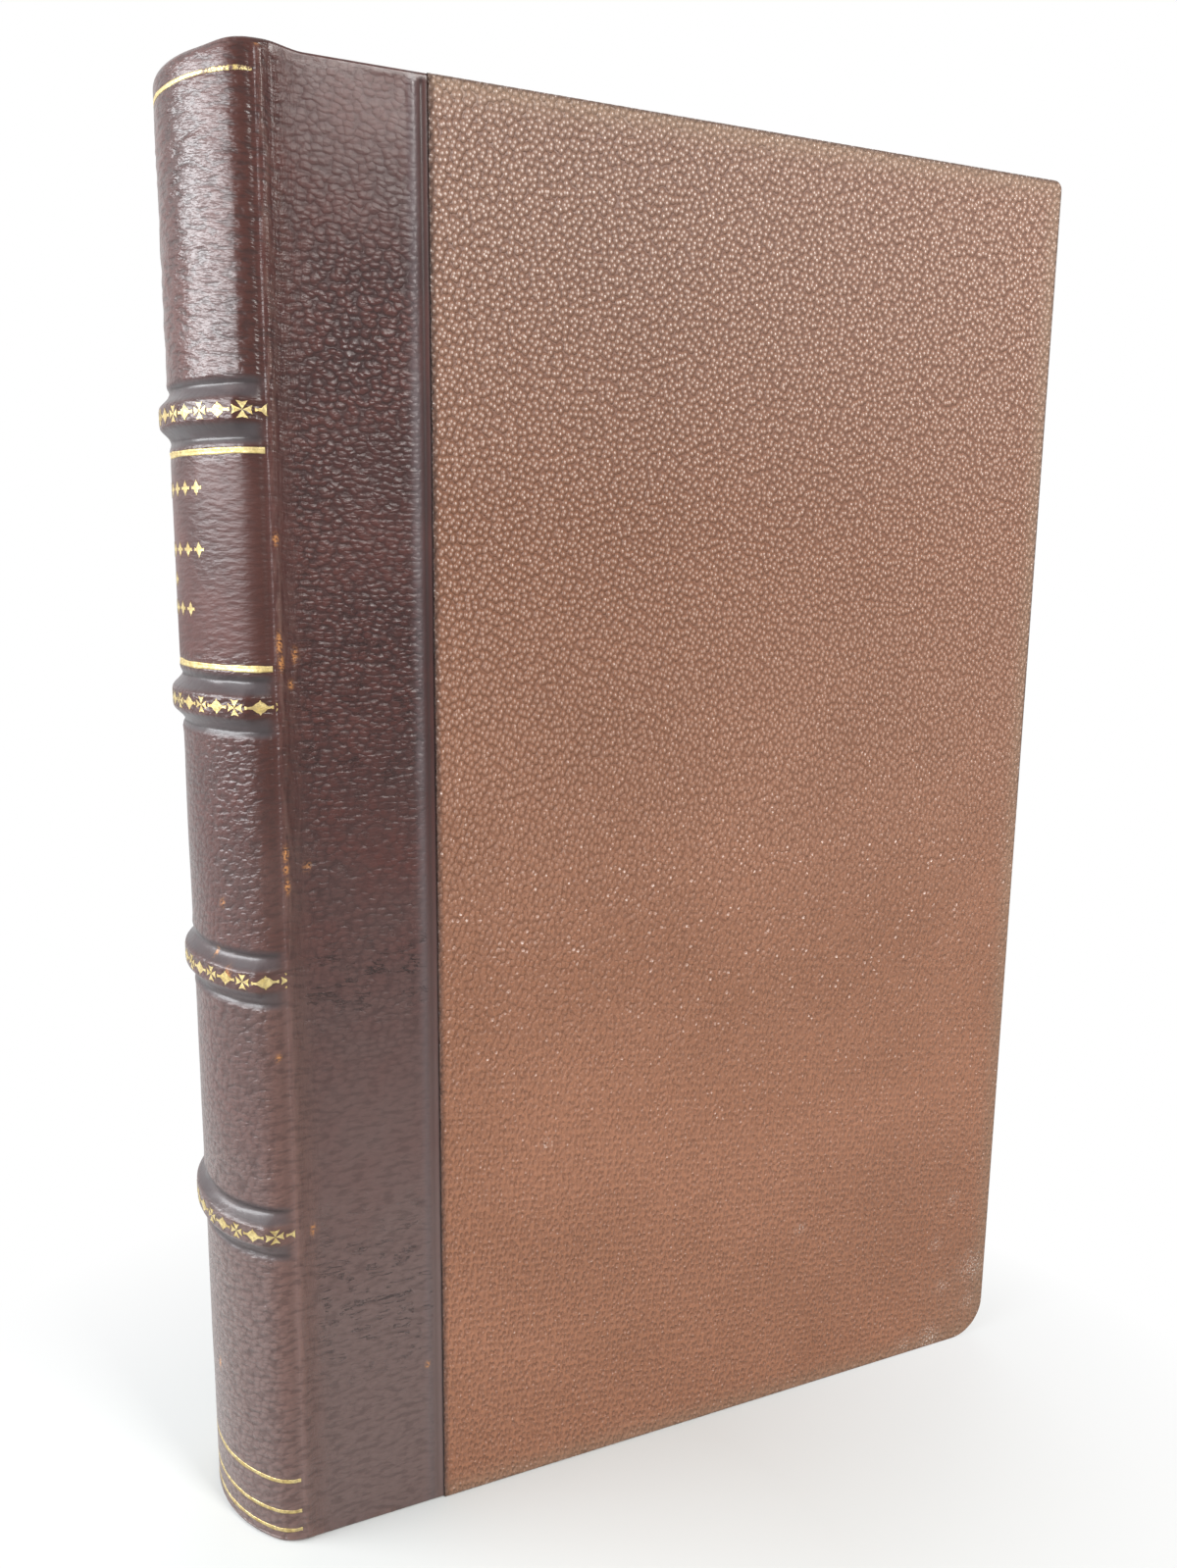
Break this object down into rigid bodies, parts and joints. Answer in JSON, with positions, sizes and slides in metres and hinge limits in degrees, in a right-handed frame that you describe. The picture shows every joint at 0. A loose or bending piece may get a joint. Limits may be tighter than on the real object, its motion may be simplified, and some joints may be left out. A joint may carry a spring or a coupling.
{
  "type": "half-leather book",
  "caption": "Rounded-back half-leather book with raised bands, gold-tooled spine, cloth sides and a worn corner; both covers open on their joints.",
  "frame": {"origin": "middle of the base, on the surface that the book stands on", "axes": "+Z from tail to head, +X from the spine to the fore-edge, front cover towards -Y"},
  "size_m": [0.1497, 0.0356, 0.2208],
  "materials": {
    "leather": "dark red-brown goatskin, polished by handling",
    "cloth": "orange-brown pebble-grained book cloth, slight sheen",
    "gold_leaf": "gold leaf tooled into the leather, slightly rubbed",
    "page_paper": "aged paper, trimmed edges",
    "endpaper": "plain aged endpaper",
    "card": "millboard",
    "linen": "unbleached linen tape and gauze",
    "silk": "sewn silk in two colours"
  },
  "bodies": {
    "text_block": {"pages": "page_paper", "front_flyleaf": "endpaper", "back_flyleaf": "endpaper", "sewing_tapes": "linen", "spine_lining": "linen", "head_band": "silk", "tail_band": "silk", "hollow_back": "card", "raised_band_1": "card", "raised_band_2": "card", "raised_band_3": "card", "raised_band_4": "card", "spine_leather": "leather", "gilt_head_line": "gold_leaf", "gilt_panel_lines": "gold_leaf", "gilt_tail_lines": "gold_leaf", "gilt_roll_1": "gold_leaf", "gilt_roll_2": "gold_leaf", "gilt_roll_3": "gold_leaf", "gilt_roll_4": "gold_leaf", "gilt_title_ornament": "gold_leaf"},
    "front_cover": {"front_board": "card", "front_leather": "leather", "front_outer_filling": "card", "front_cloth": "cloth", "front_inner_filling": "card", "front_pastedown": "endpaper"},
    "back_cover": {"back_board": "card", "back_leather": "leather", "back_outer_filling": "card", "back_cloth": "cloth", "back_inner_filling": "card", "back_pastedown": "endpaper"}
  },
  "joints": [
    {"name": "front_joint", "type": "hinge", "parent": "text_block", "child": "front_cover", "pos_m": [-0.0626, -0.01775, 0], "axis": [0, 0, -1], "range_deg": [0, 180]},
    {"name": "back_joint", "type": "hinge", "parent": "text_block", "child": "back_cover", "pos_m": [-0.0626, 0.01775, 0], "axis": [0, 0, 1], "range_deg": [0, 180]}
  ]
}
